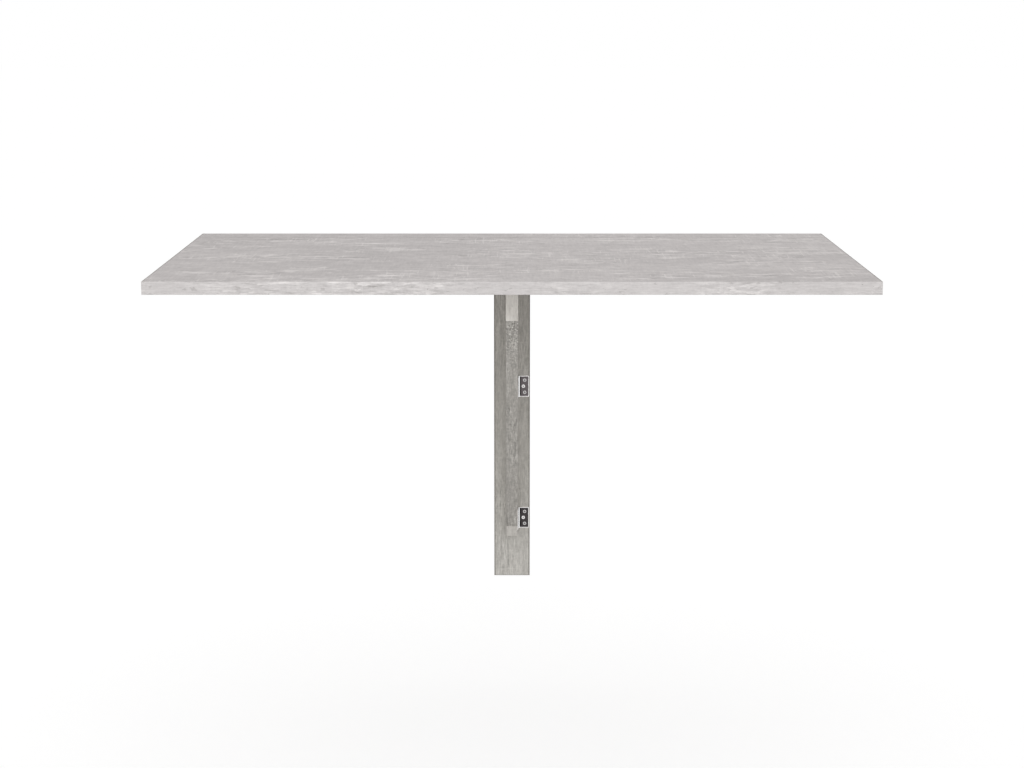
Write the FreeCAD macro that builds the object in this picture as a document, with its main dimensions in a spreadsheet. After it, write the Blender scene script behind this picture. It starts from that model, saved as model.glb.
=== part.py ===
import FreeCAD, Part
import os
import Sketcher
from FreeCAD import Placement, Rotation, Vector

# Wall mounted drop leaf table, in millimetres.
# +Z is up, +X runs along the wall, the wall is the plane Y = 0 and the table stands out of it along -Y.
# The origin is the middle of the wall rail's back face.

# Driving sizes, each with what it measures.
SIZES = [
    ("table_width", 1000, "along the wall"),
    ("table_depth", 600, "from the wall to the raised leaf's front edge"),
    ("table_height", 560, "from the top face to the foot of the post"),
    ("board_thickness", 18, "chipboard of every panel"),
    ("band_thickness", 1, "edge band"),
    ("band_bevel", 0.4, "bevel along an edge band's outer edges"),
    ("rail_height", 58, "wall rail under the fixed strip"),
    ("post_width", 58, "post and the backing behind it"),
    ("seam_gap", 1.5, "between the fixed strip and the leaf"),
    ("board_gap", 0.3, "running gap above and behind the leg"),
    ("leg_reach", 400, "from the wall to the leg's front edge"),
    ("leg_foot_rise", 73, "from the post's foot to the leg's bottom edge"),
    ("leg_front_height", 65, "upright front edge of the leg"),
    ("leg_nose_depth", 25, "from the post's face to the leg's nose"),
    ("leg_nose_height", 16, "upright nose at the foot of the leg's slope"),
    ("hinge_length", 34, "along the pin"),
    ("hinge_plate_width", 16.5, "from the pin's axis to a plate's free edge"),
    ("hinge_plate_thickness", 1, "sheet steel"),
    ("hinge_corner_round", 1.2, "free corners of a hinge plate"),
    ("knuckle_radius", 1.8, "outside of the rolled knuckle"),
    ("knuckle_relief", 0.2, "from a knuckle to the board that it stands on"),
    ("knuckle_gap", 0.3, "between neighbouring knuckles"),
    ("pin_radius", 0.85, "hinge pin"),
    ("pin_clearance", 0.05, "radial clearance of the pin in its knuckles"),
    ("upper_hinge_drop", 244, "from the top face to the upper leg hinge's middle"),
    ("lower_hinge_rise", 25, "from the leg's bottom edge to the lower leg hinge's middle"),
    ("leaf_hinge_inset", 70, "from the table's end to a leaf hinge's middle"),
    ("hinge_screw_pitch", 20, "between the two outer screws of a plate"),
    ("outer_screw_offset", 9.6, "from the pin's axis to the outer screws"),
    ("inner_screw_offset", 7.4, "from the pin's axis to the middle screw"),
    ("wood_screw_head_radius", 2.7, "countersunk screw of the hinges"),
    ("wood_screw_radius", 1.5, "shank of that screw"),
    ("wood_screw_length", 14, "over all"),
    ("wood_screw_point", 3, "tapered end of that screw"),
    ("post_screw_head_radius", 3.75, "countersunk screw that joins post and wall boards"),
    ("post_screw_radius", 1.9, "shank of that screw"),
    ("post_screw_length", 30, "over all"),
    ("post_screw_point", 4, "tapered end of that screw"),
    ("post_screw_recess", 0.5, "head below the back face"),
    ("post_screw_inset", 60, "from a backing end to its nearest screw"),
    ("post_screw_spread", 30, "between the two screws through the rail"),
    ("screw_tip_radius", 0.3, "blunt tip of every screw"),
    ("screw_clearance", 0.05, "round every screw"),
    ("dowel_radius", 4, "wooden dowel"),
    ("dowel_length", 30, "over all"),
    ("dowel_clearance", 0.05, "round a dowel and at its ends"),
    ("strip_dowel_depth", 12, "dowel in the fixed strip"),
    ("rail_dowel_inset", 80, "from the table's end to the nearest rail dowel"),
    ("post_dowel_spread", 30, "between the post's two dowels"),
    ("wall_hole_radius", 2.75, "hole for a wall screw"),
    ("wall_sink_radius", 5.5, "countersink of that hole at the rail's front"),
    ("outer_wall_hole_inset", 60, "from the table's end to an outer wall hole"),
    ("inner_wall_hole_inset", 350, "from the table's end to an inner wall hole"),
    ("cut_overrun", 1, "length by which a cutter passes a face"),
]

# Places worked out from the sizes. Distances from the wall are positive here.
LAYOUT = [
    ("half_width", "Sizes.table_width / 2"),
    ("half_board", "Sizes.board_thickness / 2"),
    ("half_post", "Sizes.post_width / 2"),
    ("underside", "Sizes.rail_height / 2"),
    ("top_face", "underside + Sizes.board_thickness"),
    ("rail_bottom", "-Sizes.rail_height / 2"),
    ("post_bottom", "top_face - Sizes.table_height"),
    ("post_face", "2 * Sizes.board_thickness"),
    ("stand_off", "Sizes.knuckle_radius + Sizes.knuckle_relief"),
    ("seam_depth", "post_face + 2 * stand_off + Sizes.board_thickness"),
    ("strip_depth", "seam_depth - Sizes.seam_gap / 2"),
    ("leaf_rear", "seam_depth + Sizes.seam_gap / 2"),
    ("leaf_depth", "Sizes.table_depth - leaf_rear"),
    ("leg_axis_x", "half_board + stand_off"),
    ("leg_axis_depth", "post_face + stand_off"),
    ("leaf_axis_z", "underside - stand_off"),
    ("leg_rear", "post_face + Sizes.board_gap"),
    ("leg_top", "underside - Sizes.board_gap"),
    ("leg_front_low", "leg_top - Sizes.leg_front_height"),
    ("leg_nose", "post_face + Sizes.leg_nose_depth"),
    ("leg_bottom", "post_bottom + Sizes.leg_foot_rise"),
    ("leg_nose_top", "leg_bottom + Sizes.leg_nose_height"),
    ("leg_slope", "(leg_front_low - leg_nose_top) / (Sizes.leg_reach - leg_nose)"),
    ("mitre_rise", "Sizes.band_thickness * (sqrt(1 + leg_slope ^ 2) - leg_slope)"),
    ("knuckle_bore", "Sizes.pin_radius + Sizes.pin_clearance"),
    ("wood_screw_head", "Sizes.wood_screw_head_radius - Sizes.wood_screw_radius"),
    ("post_screw_head", "Sizes.post_screw_head_radius - Sizes.post_screw_radius"),
]

# Each hinge has an odd number of knuckles, so that both plates lie alike when turned end for end.
KNUCKLES = 3
RAIL_DOWELS = 4
BACKING_SCREWS = 2

# Screws and fluted dowels are many-sided, and so are their holes.
FASTENER_SIDES = 12

# Where the rolled sheet leaves its plate and where it ends, as shares of the radius of the roll.
ROLL_START_SHARE = 0.1
ROLL_END_SHARE = 0.42

RIGHT = Vector(1, 0, 0)
LEFT = Vector(-1, 0, 0)
BACK = Vector(0, 1, 0)
FRONT = Vector(0, -1, 0)
UP = Vector(0, 0, 1)
DOWN = Vector(0, 0, -1)
TURN_LEVEL = 180
TURN_SQUARE = 90

# Turns a fastener that points along -Z until it points along -Y.
TO_FRONT = Rotation(UP, BACK)

doc = FreeCAD.newDocument("drop_leaf_table")
nodes = []


def fill_sheet():
    sheet = doc.addObject("Spreadsheet::Sheet", "Sizes")
    for row, (alias, value, meaning) in enumerate(SIZES, start=1):
        sheet.set(f"A{row}", alias)
        sheet.set(f"B{row}", str(value))
        sheet.set(f"C{row}", meaning)
        sheet.setAlias(f"B{row}", alias)
    doc.recompute()
    return sheet


def fill_layout():
    layout = doc.addObject("App::VarSet", "Layout")
    for name, _ in LAYOUT:
        layout.addProperty("App::PropertyFloat", name, "Layout")
    for name, expression in LAYOUT:
        layout.setExpression(name, expression)
    doc.recompute()
    return layout


sizes = fill_sheet()
places = fill_layout()


def value(expression):
    """Number that an expression of sizes and places gives now."""
    return float(sizes.evalExpression(expression))


def bind(thing, bindings):
    for name, expression in bindings.items():
        thing.setExpression(name, expression)


def put(thing, corner, rotation=Rotation()):
    """Turn a piece and bind its place, given as three expressions."""
    thing.Placement = Placement(Vector(), rotation)
    bind(thing, {f"Placement.Base.{axis}": place for axis, place in zip("xyz", corner)})


def keep(thing, label):
    """Name a finished piece and list it for export."""
    thing.Label = label
    nodes.append(thing)
    return thing


def new_body(label):
    return doc.addObject("PartDesign::Body", label + "_body")


def origin_part(body, role):
    return next(part for part in body.Origin.OriginFeatures if part.Role == role)


def new_sketch(body, name, plane, lift="0"):
    sketch = body.newObject("Sketcher::SketchObject", name)
    sketch.AttachmentSupport = [(origin_part(body, plane), "")]
    sketch.MapMode = "FlatFace"
    sketch.setExpression("AttachmentOffset.Base.z", lift)
    return sketch


def pin_point(sketch, geometry, end, x=None, y=None):
    """Bind a sketch point's distance from the sketch's origin, along either axis or both."""
    for kind, expression in (("DistanceX", x), ("DistanceY", y)):
        if expression is not None:
            index = sketch.addConstraint(Sketcher.Constraint(kind, -1, 1, geometry, end, value(expression)))
            sketch.setExpression(f"Constraints[{index}]", expression)


def outline(body, name, plane, points):
    """Closed sketch of straight lines through points, each a pair of expressions."""
    sketch = new_sketch(body, name, plane)
    corners = [Vector(value(x), value(y), 0) for x, y in points]
    following = corners[1:] + corners[:1]
    for start, end in zip(corners, following):
        sketch.addGeometry(Part.LineSegment(start, end))
    for index in range(len(points)):
        joined = (index + 1) % len(points)
        sketch.addConstraint(Sketcher.Constraint("Coincident", index, 2, joined, 1))
    for index, (x, y) in enumerate(points):
        pin_point(sketch, index, 1, x, y)
    return sketch


def pad(body, name, sketch, length, midplane=False):
    feature = body.newObject("PartDesign::Pad", name)
    feature.Profile = sketch
    feature.Midplane = midplane
    feature.setExpression("Length", length)
    doc.recompute()
    return feature


def dress_edges(body, name, base, wanted, radius=None, bevel=None):
    """Round or bevel the edges of a feature that a test on their two ends picks out."""
    chosen = []
    for index, edge in enumerate(base.Shape.Edges, start=1):
        ends = [vertex.Point for vertex in edge.Vertexes]
        if len(ends) == 2 and wanted(*ends):
            chosen.append(f"Edge{index}")
    feature = body.newObject("PartDesign::Fillet" if radius else "PartDesign::Chamfer", name)
    feature.Base = (base, chosen)
    feature.setExpression("Radius" if radius else "Size", radius or bevel)
    doc.recompute()
    return feature


def near(first, second):
    return abs(first - second) < Part.Precision.confusion() * 100


# Boards and edge bands


def board(name, corner, lengths):
    """Rectangular blank with its low corner at three expressions."""
    blank = doc.addObject("Part::Box", name + "_blank")
    bind(blank, dict(zip(("Length", "Width", "Height"), lengths)))
    put(blank, corner)
    return blank


def drilled(label, blank, cutters):
    """Panel with every hole of a list of cutters taken out of its blank."""
    holes = doc.addObject("Part::Feature", label + "_holes")
    holes.Shape = Part.makeCompound(cutters)
    panel = doc.addObject("Part::Cut", label)
    panel.Base = blank
    panel.Tool = holes
    return keep(panel, label)


def straight_band(label, start, along, outward, length, width="Sizes.board_thickness"):
    """Edge band from its outer start corner, with the two edges of its outer face bevelled."""
    body = new_body(label)
    strip = body.newObject("PartDesign::AdditiveBox", label + "_strip")
    bind(strip, {"Length": length, "Width": "Sizes.band_thickness", "Height": width})
    doc.recompute()
    dress_edges(
        body,
        label + "_bevels",
        strip,
        lambda p, q: near(p.y, 0) and near(q.y, 0) and near(p.z, q.z),
        bevel="Sizes.band_bevel",
    )
    inward = -outward
    put(body, start, Rotation(along, inward, along.cross(inward), "XYZ"))
    return keep(body, label)


# Countersunk screws and dowels


def flat_face(corners):
    return Part.Face(Part.makePolygon(corners + corners[:1]))


def stepped(name, rings):
    """Many-sided piece along Z with flat sides between its rings, each a radius and a height."""
    loops = []
    for number, (radius, height) in enumerate(rings):
        ring = doc.addObject("Part::RegularPolygon", f"{name}_ring_{number}")
        ring.Polygon = FASTENER_SIDES
        bind(ring, {"Circumradius": radius, "Placement.Base.z": height})
        doc.recompute()
        loops.append([corner.Point for corner in ring.Shape.OrderedVertexes])
    faces = [flat_face(loops[0]), flat_face(loops[-1])]
    for upper, lower in zip(loops, loops[1:]):
        for side in range(FASTENER_SIDES):
            faces.append(flat_face([upper[side - 1], upper[side], lower[side], lower[side - 1]]))
    shell = Part.Shell(faces)
    shell.sewShape()
    piece = doc.addObject("Part::Feature", name)
    piece.Shape = Part.Solid(shell)
    return piece


def screw(size):
    """Countersunk screw that points along -Z from its head's top face."""
    shank = f"Sizes.{size}_radius"
    end = f"-Sizes.{size}_length"
    return stepped(size, [
        (f"Sizes.{size}_head_radius", "0"),
        (shank, f"-Layout.{size}_head"),
        (shank, f"{end} + Sizes.{size}_point"),
        ("Sizes.screw_tip_radius", end),
    ])


def screw_hole(size, above):
    """Cutter for such a screw, open above its head."""
    head = f"Sizes.{size}_head_radius + Sizes.screw_clearance"
    shank = f"Sizes.{size}_radius + Sizes.screw_clearance"
    return stepped(size + "_hole", [
        (head, above),
        (head, "0"),
        (shank, f"-Layout.{size}_head"),
        (shank, f"-Sizes.{size}_length - Sizes.screw_clearance"),
    ])


def prism(name, radius, height, low="0"):
    """Many-sided rod along Z from its low end."""
    rod = doc.addObject("Part::Prism", name)
    rod.Polygon = FASTENER_SIDES
    bind(rod, {"Circumradius": radius, "Height": height, "Placement.Base.z": low})
    return rod


def at(shape, site):
    copy = shape.copy()
    copy.Placement = site.multiply(copy.Placement)
    return copy


def holes(cutter, sites):
    return [at(cutter.Shape, site) for site in sites]


def group(label, fastener, sites):
    """Identical fasteners as one node of separate solids."""
    feature = doc.addObject("Part::Feature", label)
    feature.Shape = Part.makeCompound([at(fastener.Shape, site) for site in sites])
    return keep(feature, label)


wood_screw = screw("wood_screw")
wood_hole = screw_hole("wood_screw", "Sizes.cut_overrun")
post_screw = screw("post_screw")
post_hole = screw_hole("post_screw", "Sizes.post_screw_recess + Sizes.cut_overrun")
dowel = prism("dowel", "Sizes.dowel_radius", "Sizes.dowel_length")
dowel_hole = prism(
    "dowel_hole",
    "Sizes.dowel_radius + Sizes.dowel_clearance",
    "Sizes.dowel_length + 2 * Sizes.dowel_clearance",
    "-Sizes.dowel_clearance",
)
doc.recompute()


# Butt hinges: two plates of rolled sheet whose knuckles turn on one pin


def roll_profile(body, name, lift):
    """Section of a plate and its roll: the sheet leaves the plate, goes round the pin and stops at a slit."""
    sketch = new_sketch(body, name, "XY_Plane", lift)
    outer = "Sizes.knuckle_radius"
    inner = "Layout.knuckle_bore"
    far = "Sizes.hinge_plate_width"
    back = "-Layout.stand_off"
    face = "-Layout.stand_off + Sizes.hinge_plate_thickness"
    end_x = f"sqrt(1 - {ROLL_END_SHARE} ^ 2)"
    start_y = f"sqrt(1 - {ROLL_START_SHARE} ^ 2)"

    def point(x, y):
        return Vector(value(x), value(y), 0)

    def roll_end(radius):
        return point(f"{radius} * {end_x}", f"-{radius} * {ROLL_END_SHARE}")

    def roll_start(radius):
        return point(f"-{radius} * {ROLL_START_SHARE}", f"-{radius} * {start_y}")

    def roll_arc(radius):
        top = point("0", radius)
        return Part.Arc(roll_end(radius), top, roll_start(radius))

    path = [point(far, face), point(far, back), point(outer, back), roll_start(outer)]
    for start, end in zip(path, path[1:]):
        sketch.addGeometry(Part.LineSegment(start, end))
    outer_arc = sketch.addGeometry(roll_arc(outer))
    lip = sketch.addGeometry(Part.LineSegment(roll_end(outer), roll_end(inner)))
    inner_arc = sketch.addGeometry(roll_arc(inner))
    neck = sketch.addGeometry(Part.LineSegment(roll_start(inner), point(outer, face)))
    top = sketch.addGeometry(Part.LineSegment(point(outer, face), point(far, face)))
    joints = [
        (0, 2, 1, 1),
        (1, 2, 2, 1),
        (2, 2, outer_arc, 2),
        (outer_arc, 1, lip, 1),
        (lip, 2, inner_arc, 1),
        (inner_arc, 2, neck, 1),
        (neck, 2, top, 1),
        (top, 2, 0, 1),
        (outer_arc, 3, -1, 1),
        (inner_arc, 3, -1, 1),
    ]
    for joint in joints:
        sketch.addConstraint(Sketcher.Constraint("Coincident", *joint))
    pin_point(sketch, 0, 1, far, face)
    pin_point(sketch, 1, 1, far, back)
    pin_point(sketch, 2, 1, outer, back)
    pin_point(sketch, top, 1, outer, face)
    for end, radius in ((1, outer), (2, inner)):
        pin_point(sketch, lip, end, f"{radius} * {end_x}", f"-{radius} * {ROLL_END_SHARE}")
    pin_point(sketch, 2, 2, f"-{outer} * {ROLL_START_SHARE}")
    pin_point(sketch, neck, 1, f"-{inner} * {ROLL_START_SHARE}")
    return sketch


def hinge_plate(label, first_knuckle, place, rotation):
    """Plate along +X beside the pin's axis (Z), with its back on the board side (-Y) and its own knuckles."""
    body = new_body(label)
    near_edge = "Sizes.knuckle_radius + Sizes.knuckle_gap"
    far = "Sizes.hinge_plate_width"
    back = "-Layout.stand_off"
    face = "-Layout.stand_off + Sizes.hinge_plate_thickness"
    section = [(near_edge, back), (far, back), (far, face), (near_edge, face)]
    sheet = pad(body, label + "_sheet", outline(body, label + "_section", "XY_Plane", section),
                "Sizes.hinge_length", midplane=True)
    free_edge = value(far)
    dress_edges(
        body,
        label + "_corners",
        sheet,
        lambda p, q: near(p.x, free_edge) and near(q.x, free_edge) and near(p.z, q.z),
        radius="Sizes.hinge_corner_round",
    )
    pitch = f"(Sizes.hinge_length + Sizes.knuckle_gap) / {KNUCKLES}"
    start = f"-Sizes.hinge_length / 2 + {first_knuckle} * {pitch}"
    own = len(range(first_knuckle, KNUCKLES, 2))
    roll = pad(body, label + "_roll", roll_profile(body, label + "_roll_section", start),
               f"{pitch} - Sizes.knuckle_gap")
    knuckles = body.newObject("PartDesign::LinearPattern", label + "_knuckles")
    knuckles.Originals = [roll]
    knuckles.Direction = (origin_part(body, "Z_Axis"), [""])
    knuckles.Occurrences = own
    knuckles.setExpression("Length", f"{2 * (own - 1)} * {pitch}")
    body.Tip = knuckles
    put(body, place, rotation)
    doc.recompute()
    drilled(label, body, holes(wood_hole, plate_screw_sites(body)))
    return body


def plate_screw_spots():
    """Two outer screws and one between them, nearer the pin, as expressions beside and along the pin."""
    half = "Sizes.hinge_screw_pitch / 2"
    return [
        ("Sizes.outer_screw_offset", f"-{half}"),
        ("Sizes.inner_screw_offset", "0"),
        ("Sizes.outer_screw_offset", half),
    ]


def plate_screw_sites(plate):
    """Places of a plate's screws, heads level with its open face."""
    depth = value("-Layout.stand_off + Sizes.hinge_plate_thickness")
    return [
        plate.Placement.multiply(Placement(Vector(value(x), depth, value(z)), TO_FRONT))
        for x, z in plate_screw_spots()
    ]


def hinge_pin(label, place, rotation):
    """Pin along Z, level with the ends of the outer knuckles."""
    body = new_body(label)
    rod = body.newObject("PartDesign::AdditiveCylinder", label + "_rod")
    bind(rod, {
        "Radius": "Sizes.pin_radius",
        "Height": "Sizes.hinge_length",
        "Placement.Base.z": "-Sizes.hinge_length / 2",
    })
    put(body, place, rotation)
    doc.recompute()
    return keep(body, label)


def hinge(name, place, rotation, long_side, short_side, fold=Rotation()):
    """Whole hinge: the long side has the end knuckles, the short side the ones between, turned by fold."""
    end_for_end = Rotation(BACK, TURN_LEVEL)
    long_plate = hinge_plate(f"{name}_hinge_{long_side}_plate", 0, place, rotation)
    short_turn = fold.multiply(rotation).multiply(end_for_end)
    short_plate = hinge_plate(f"{name}_hinge_{short_side}_plate", 1, place, short_turn)
    hinge_pin(f"{name}_hinge_pin", place, rotation)
    return long_plate, short_plate


# Hinges come first: the boards take their holes from them.

facing_wall = Rotation(RIGHT, TURN_LEVEL)
leg_open = Rotation(UP, TURN_SQUARE)
upper_hinge = ("Layout.leg_axis_x", "-Layout.leg_axis_depth", "Layout.top_face - Sizes.upper_hinge_drop")
lower_hinge = ("Layout.leg_axis_x", "-Layout.leg_axis_depth", "Layout.leg_bottom + Sizes.lower_hinge_rise")
upper_post_plate, upper_leg_plate = hinge("upper", upper_hinge, facing_wall, "post", "leg", leg_open)
lower_post_plate, lower_leg_plate = hinge("lower", lower_hinge, facing_wall, "post", "leg", leg_open)

under_table = Rotation(FRONT, DOWN, RIGHT, "XYZ")
leaf_hinge_x = "Layout.half_width - Sizes.leaf_hinge_inset"
left_hinge = (f"-({leaf_hinge_x})", "-Layout.seam_depth", "Layout.leaf_axis_z")
right_hinge = (leaf_hinge_x, "-Layout.seam_depth", "Layout.leaf_axis_z")
left_leaf_plate, left_strip_plate = hinge("left", left_hinge, under_table, "leaf", "strip")
right_leaf_plate, right_strip_plate = hinge("right", right_hinge, under_table, "leaf", "strip")

# Places of screws, dowels and wall holes

post_plate_sites = plate_screw_sites(upper_post_plate) + plate_screw_sites(lower_post_plate)
leg_plate_sites = plate_screw_sites(upper_leg_plate) + plate_screw_sites(lower_leg_plate)
strip_plate_sites = plate_screw_sites(left_strip_plate) + plate_screw_sites(right_strip_plate)
leaf_plate_sites = plate_screw_sites(left_leaf_plate) + plate_screw_sites(right_leaf_plate)


def spread(first, last, count):
    """Evenly spaced places from the first to the last."""
    step = (last - first) / (count - 1)
    return [first + step * index for index in range(count)]


def post_screw_sites():
    """Screws from behind: two through the rail and a column through the backing, all into the post."""
    depth = -value("Sizes.post_screw_recess")
    beside = value("Sizes.post_screw_spread / 2")
    lowest = value("Layout.post_bottom + Sizes.post_screw_inset")
    highest = value("Layout.rail_bottom - Sizes.post_screw_inset")
    places_xz = [(-beside, 0), (beside, 0)]
    places_xz += [(0, z) for z in spread(lowest, highest, BACKING_SCREWS)]
    return [Placement(Vector(x, depth, z), TO_FRONT) for x, z in places_xz]


def strip_dowel_sites():
    """Dowels from the rail and the post up into the fixed strip."""
    low = value("Layout.underside + Sizes.strip_dowel_depth - Sizes.dowel_length")
    ends = value("Layout.half_width - Sizes.rail_dowel_inset")
    beside = value("Sizes.post_dowel_spread / 2")
    in_rail = -value("Layout.half_board")
    in_post = in_rail - value("Sizes.board_thickness")
    places_xy = [(x, in_rail) for x in spread(-ends, ends, RAIL_DOWELS)]
    places_xy += [(-beside, in_post), (beside, in_post)]
    return [Placement(Vector(x, y, low), Rotation()) for x, y in places_xy]


def wall_hole_cutters():
    """Countersunk wall screw holes through the rail, an outer and an inner pair."""
    hole = value("Sizes.wall_hole_radius")
    sink = value("Sizes.wall_sink_radius")
    front = value("Sizes.board_thickness")
    over = value("Sizes.cut_overrun")
    cutters = []
    for inset in ("Sizes.outer_wall_hole_inset", "Sizes.inner_wall_hole_inset"):
        place = value(f"Layout.half_width - {inset}")
        for x in (-place, place):
            bore = Part.makeCylinder(hole, front + 2 * over, Vector(x, over, 0), FRONT)
            cone = Part.makeCone(hole, sink, sink - hole, Vector(x, sink - hole - front, 0), FRONT)
            cutters.append(bore.fuse(cone))
    return cutters


post_screw_holes = holes(post_hole, post_screw_sites())
strip_dowel_holes = holes(dowel_hole, strip_dowel_sites())

# Fixed strip along the wall

band = "Sizes.band_thickness"
board_thickness = "Sizes.board_thickness"
inner_width = f"Sizes.table_width - 2 * {band}"
inner_left = f"-Layout.half_width + {band}"

strip_blank = board(
    "strip_panel",
    (inner_left, f"-Layout.strip_depth + {band}", "Layout.underside"),
    (inner_width, f"Layout.strip_depth - {band}", board_thickness),
)
drilled("strip_panel", strip_blank, holes(wood_hole, strip_plate_sites) + strip_dowel_holes)
straight_band("strip_front_band", ("-Layout.half_width", "-Layout.strip_depth", "Layout.underside"),
              RIGHT, FRONT, "Sizes.table_width")
straight_band("strip_left_band", ("-Layout.half_width", "0", "Layout.underside"),
              FRONT, LEFT, f"Layout.strip_depth - {band}")
straight_band("strip_right_band", ("Layout.half_width", f"-Layout.strip_depth + {band}", "Layout.underside"),
              BACK, RIGHT, f"Layout.strip_depth - {band}")

# Wall rail under the strip

rail_blank = board(
    "rail_panel",
    (inner_left, f"-{board_thickness}", f"Layout.rail_bottom + {band}"),
    (inner_width, board_thickness, f"Sizes.rail_height - {band}"),
)
drilled("rail_panel", rail_blank, wall_hole_cutters() + post_screw_holes + strip_dowel_holes)
straight_band("rail_bottom_band", (inner_left, "0", "Layout.rail_bottom"), RIGHT, DOWN, inner_width)
straight_band("rail_left_band", ("-Layout.half_width", f"-{board_thickness}", "Layout.rail_bottom"),
              UP, LEFT, "Sizes.rail_height")
straight_band("rail_right_band", ("Layout.half_width", "0", "Layout.rail_bottom"),
              UP, RIGHT, "Sizes.rail_height")


def upright(name, front, top, cutters):
    """Narrow upright board with banded sides and foot, its face at the given distance from the wall."""
    height = f"{top} - Layout.post_bottom"
    behind = f"-({front}) + {board_thickness}"
    blank = board(
        f"{name}_panel",
        (f"-Layout.half_post + {band}", f"-({front})", f"Layout.post_bottom + {band}"),
        (f"Sizes.post_width - 2 * {band}", board_thickness, f"{height} - {band}"),
    )
    drilled(f"{name}_panel", blank, cutters)
    straight_band(f"{name}_left_band", ("-Layout.half_post", f"-({front})", "Layout.post_bottom"),
                  UP, LEFT, height)
    straight_band(f"{name}_right_band", ("Layout.half_post", behind, "Layout.post_bottom"),
                  UP, RIGHT, height)
    straight_band(f"{name}_bottom_band", (f"-Layout.half_post + {band}", behind, "Layout.post_bottom"),
                  RIGHT, DOWN, f"Sizes.post_width - 2 * {band}")


# Backing board on the wall and the post in front of it

upright("backing", board_thickness, "Layout.rail_bottom", post_screw_holes)
upright("post", "Layout.post_face", "Layout.underside",
        post_screw_holes + strip_dowel_holes + holes(wood_hole, post_plate_sites))

# Support leg: a board with an upright front edge, a long slope and a small nose

LEG_OUTLINE = [
    ("-Layout.leg_rear", "Layout.leg_top"),
    ("-Sizes.leg_reach", "Layout.leg_top"),
    ("-Sizes.leg_reach", "Layout.leg_front_low"),
    ("-Layout.leg_nose", "Layout.leg_nose_top"),
    ("-Layout.leg_nose", "Layout.leg_bottom"),
    ("-Layout.leg_rear", "Layout.leg_bottom"),
]
LEG_CORE = [
    (f"-Layout.leg_rear - {band}", f"Layout.leg_top - {band}"),
    (f"-Sizes.leg_reach + {band}", f"Layout.leg_top - {band}"),
    (f"-Sizes.leg_reach + {band}", "Layout.leg_front_low + Layout.mitre_rise"),
    (f"-Layout.leg_nose + {band}", "Layout.leg_nose_top + Layout.mitre_rise"),
    (f"-Layout.leg_nose + {band}", f"Layout.leg_bottom + {band}"),
    (f"-Layout.leg_rear - {band}", f"Layout.leg_bottom + {band}"),
]
LEG_EDGES = ["top", "front", "slope", "nose", "bottom", "rear"]


def leg_prism(name, points):
    body = new_body(name)
    section = outline(body, name + "_section", "YZ_Plane", points)
    return body, pad(body, name + "_sawn", section, board_thickness, midplane=True)


def leg_band(index, edge):
    """Mitred edge band between the leg's outline and its core, bevelled like the others."""
    label = f"leg_{edge}_band"
    following = (index + 1) % len(LEG_OUTLINE)
    quad = [LEG_OUTLINE[index], LEG_OUTLINE[following], LEG_CORE[following], LEG_CORE[index]]
    body, strip = leg_prism(label, quad)
    outer = [(value(y), value(z)) for y, z in quad[:2]]

    def on_outer_face(p, q):
        return near(p.x, q.x) and all(
            any(near(end.y, y) and near(end.z, z) for end in (p, q)) for y, z in outer)

    dress_edges(body, label + "_bevels", strip, on_outer_face, bevel="Sizes.band_bevel")
    keep(body, label)


leg_blank, _ = leg_prism("leg_panel", LEG_CORE)
drilled("leg_panel", leg_blank, holes(wood_hole, leg_plate_sites))
for number, edge_name in enumerate(LEG_EDGES):
    leg_band(number, edge_name)

# Drop leaf

leaf_blank = board(
    "leaf_panel",
    (inner_left, f"-Sizes.table_depth + {band}", "Layout.underside"),
    (inner_width, f"Layout.leaf_depth - 2 * {band}", board_thickness),
)
drilled("leaf_panel", leaf_blank, holes(wood_hole, leaf_plate_sites))
leaf_side = f"Layout.leaf_depth - 2 * {band}"
straight_band("leaf_front_band", ("-Layout.half_width", "-Sizes.table_depth", "Layout.underside"),
              RIGHT, FRONT, "Sizes.table_width")
straight_band("leaf_rear_band", ("Layout.half_width", "-Layout.leaf_rear", "Layout.underside"),
              LEFT, BACK, "Sizes.table_width")
straight_band("leaf_left_band", ("-Layout.half_width", f"-Layout.leaf_rear - {band}", "Layout.underside"),
              FRONT, LEFT, leaf_side)
straight_band("leaf_right_band", ("Layout.half_width", f"-Sizes.table_depth + {band}", "Layout.underside"),
              BACK, RIGHT, leaf_side)

# Fasteners

group("post_hinge_screws", wood_screw, post_plate_sites)
group("leg_hinge_screws", wood_screw, leg_plate_sites)
group("strip_hinge_screws", wood_screw, strip_plate_sites)
group("leaf_hinge_screws", wood_screw, leaf_plate_sites)
group("post_screws", post_screw, post_screw_sites())
group("strip_dowels", dowel, strip_dowel_sites())

# Check and export

doc.recompute()
for thing in doc.Objects:
    if any(mark in ("Invalid", "Error") for mark in thing.State):
        raise SystemExit(f"{thing.Label} failed to build: {thing.State}")
for node in nodes:
    if node.Shape.isNull() or not node.Shape.isValid() or not node.Shape.Solids:
        raise SystemExit(f"{node.Label} has no valid solid")

os.makedirs("parts", exist_ok=True)
for node in nodes:
    node.Shape.exportStep(os.path.join("parts", node.Label + ".step"))
print(f"{len(nodes)} nodes written")
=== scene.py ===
import math

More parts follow.
